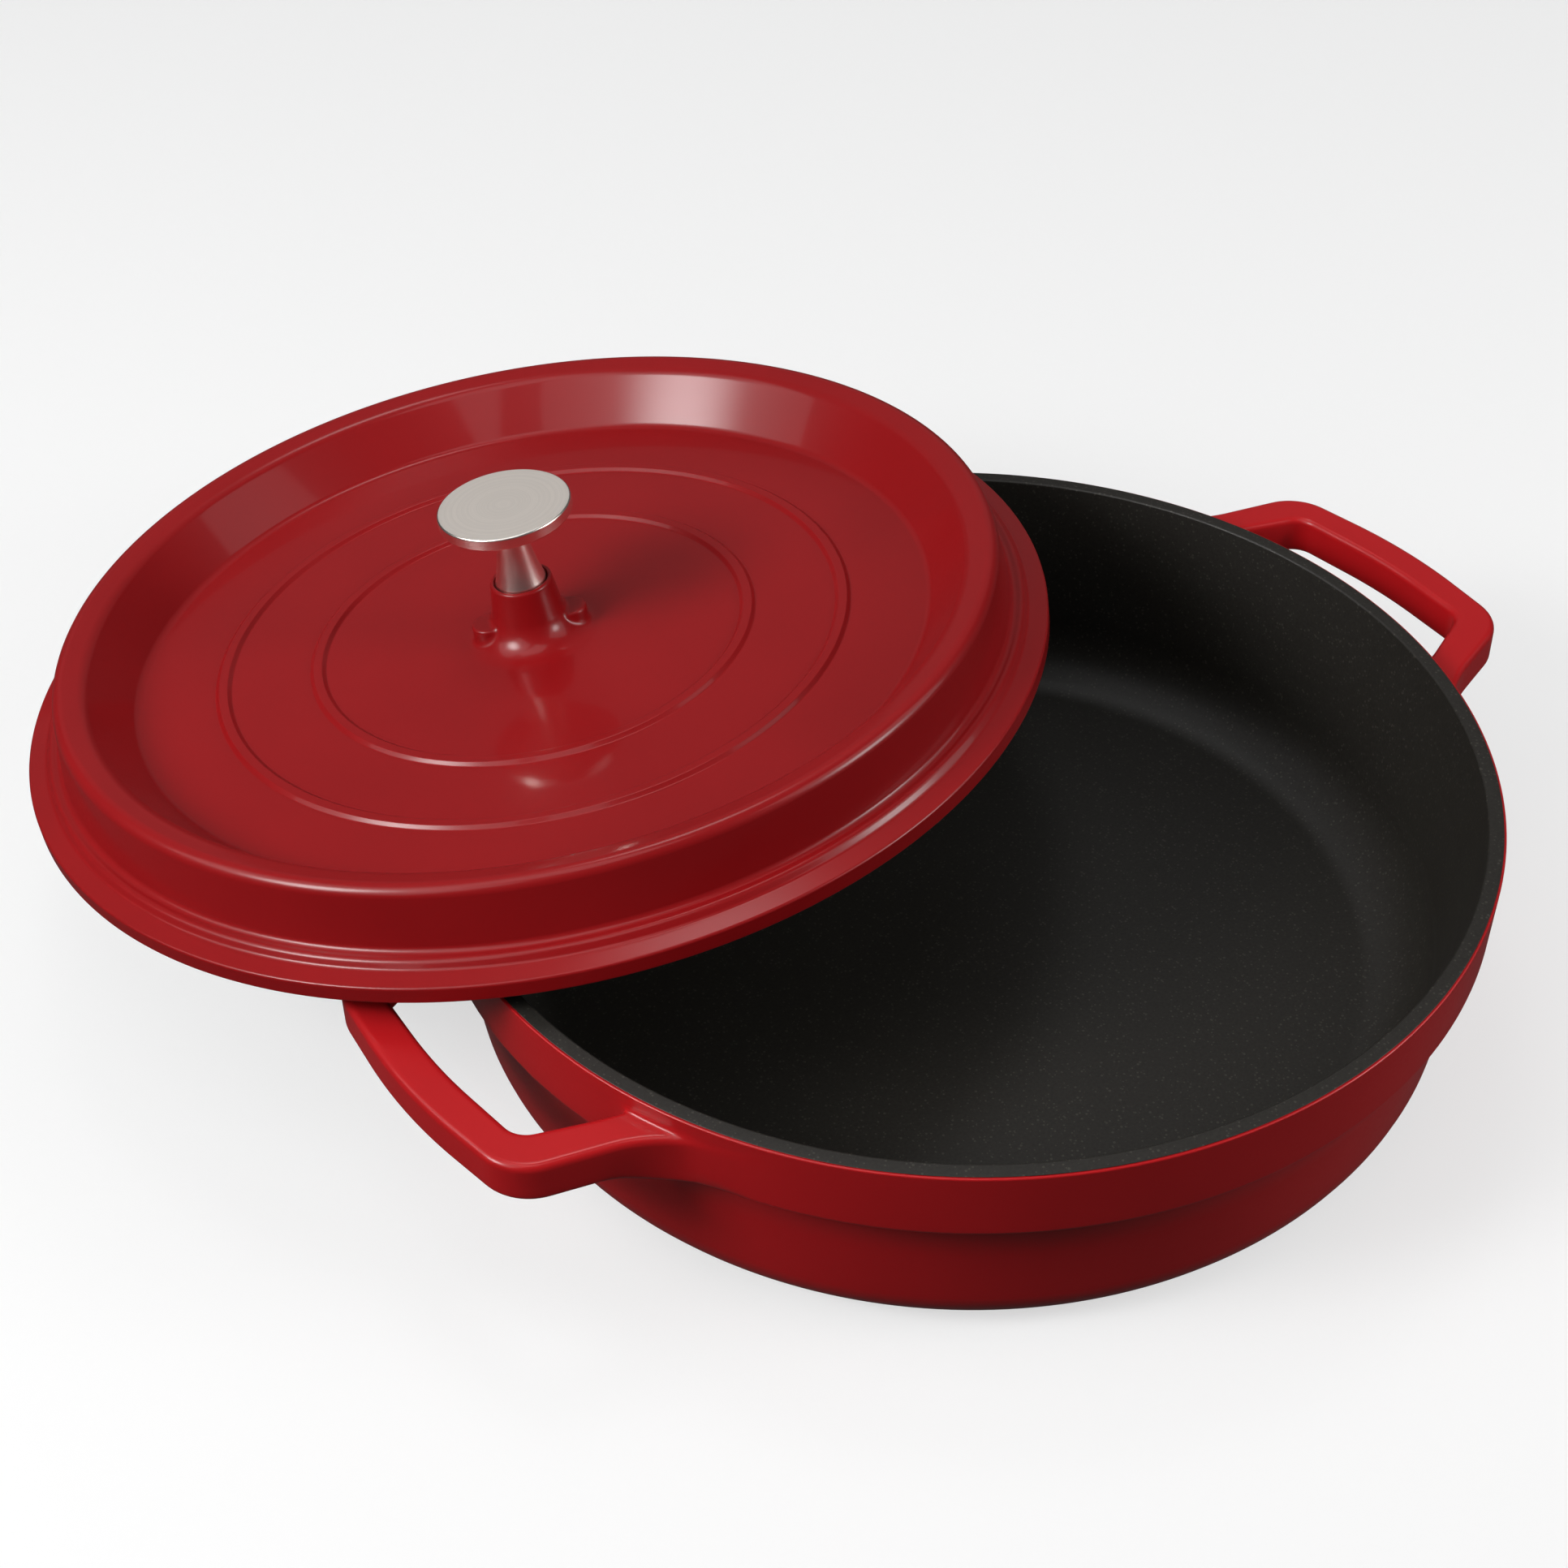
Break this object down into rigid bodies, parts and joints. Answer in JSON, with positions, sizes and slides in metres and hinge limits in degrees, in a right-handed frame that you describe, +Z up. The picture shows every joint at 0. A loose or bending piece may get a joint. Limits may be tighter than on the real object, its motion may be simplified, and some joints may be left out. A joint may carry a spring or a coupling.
{
  "type": "covered casserole dish",
  "caption": "Shallow round cast casserole with loop handles, dark coated inside, and a sunken-top lid with a steel knob that lies askew on the rim and lifts off.",
  "frame": {"origin": "centre of the vessel's flat underside, on the surface that it stands on", "axes": "+Z up along the vessel's axis; X through both handles; the lid leans over the rim towards +Y and a little -X"},
  "size_m": [0.3834, 0.4063, 0.1194],
  "materials": {
    "enamel_red": "gloss",
    "nonstick_dark": "satin",
    "knob_steel": "satin",
    "plate_steel": "satin",
    "fixing_steel": "satin",
    "seat_rubber": "matte"
  },
  "bodies": {
    "vessel_body": {"vessel": "enamel_red", "vessel_lining": "nonstick_dark", "base_plate": "plate_steel"},
    "lid_body": {"lid": "enamel_red", "lid_lining": "nonstick_dark", "knob": "knob_steel", "knob_seat_ring": "seat_rubber", "knob_screw": "fixing_steel", "flat_washer": "fixing_steel", "spring_washer": "fixing_steel"}
  },
  "joints": [
    {"name": "lid_lift", "type": "slide", "parent": "vessel_body", "child": "lid_body", "axis": [0, 0, 1], "range_m": [0, 0.15]}
  ]
}
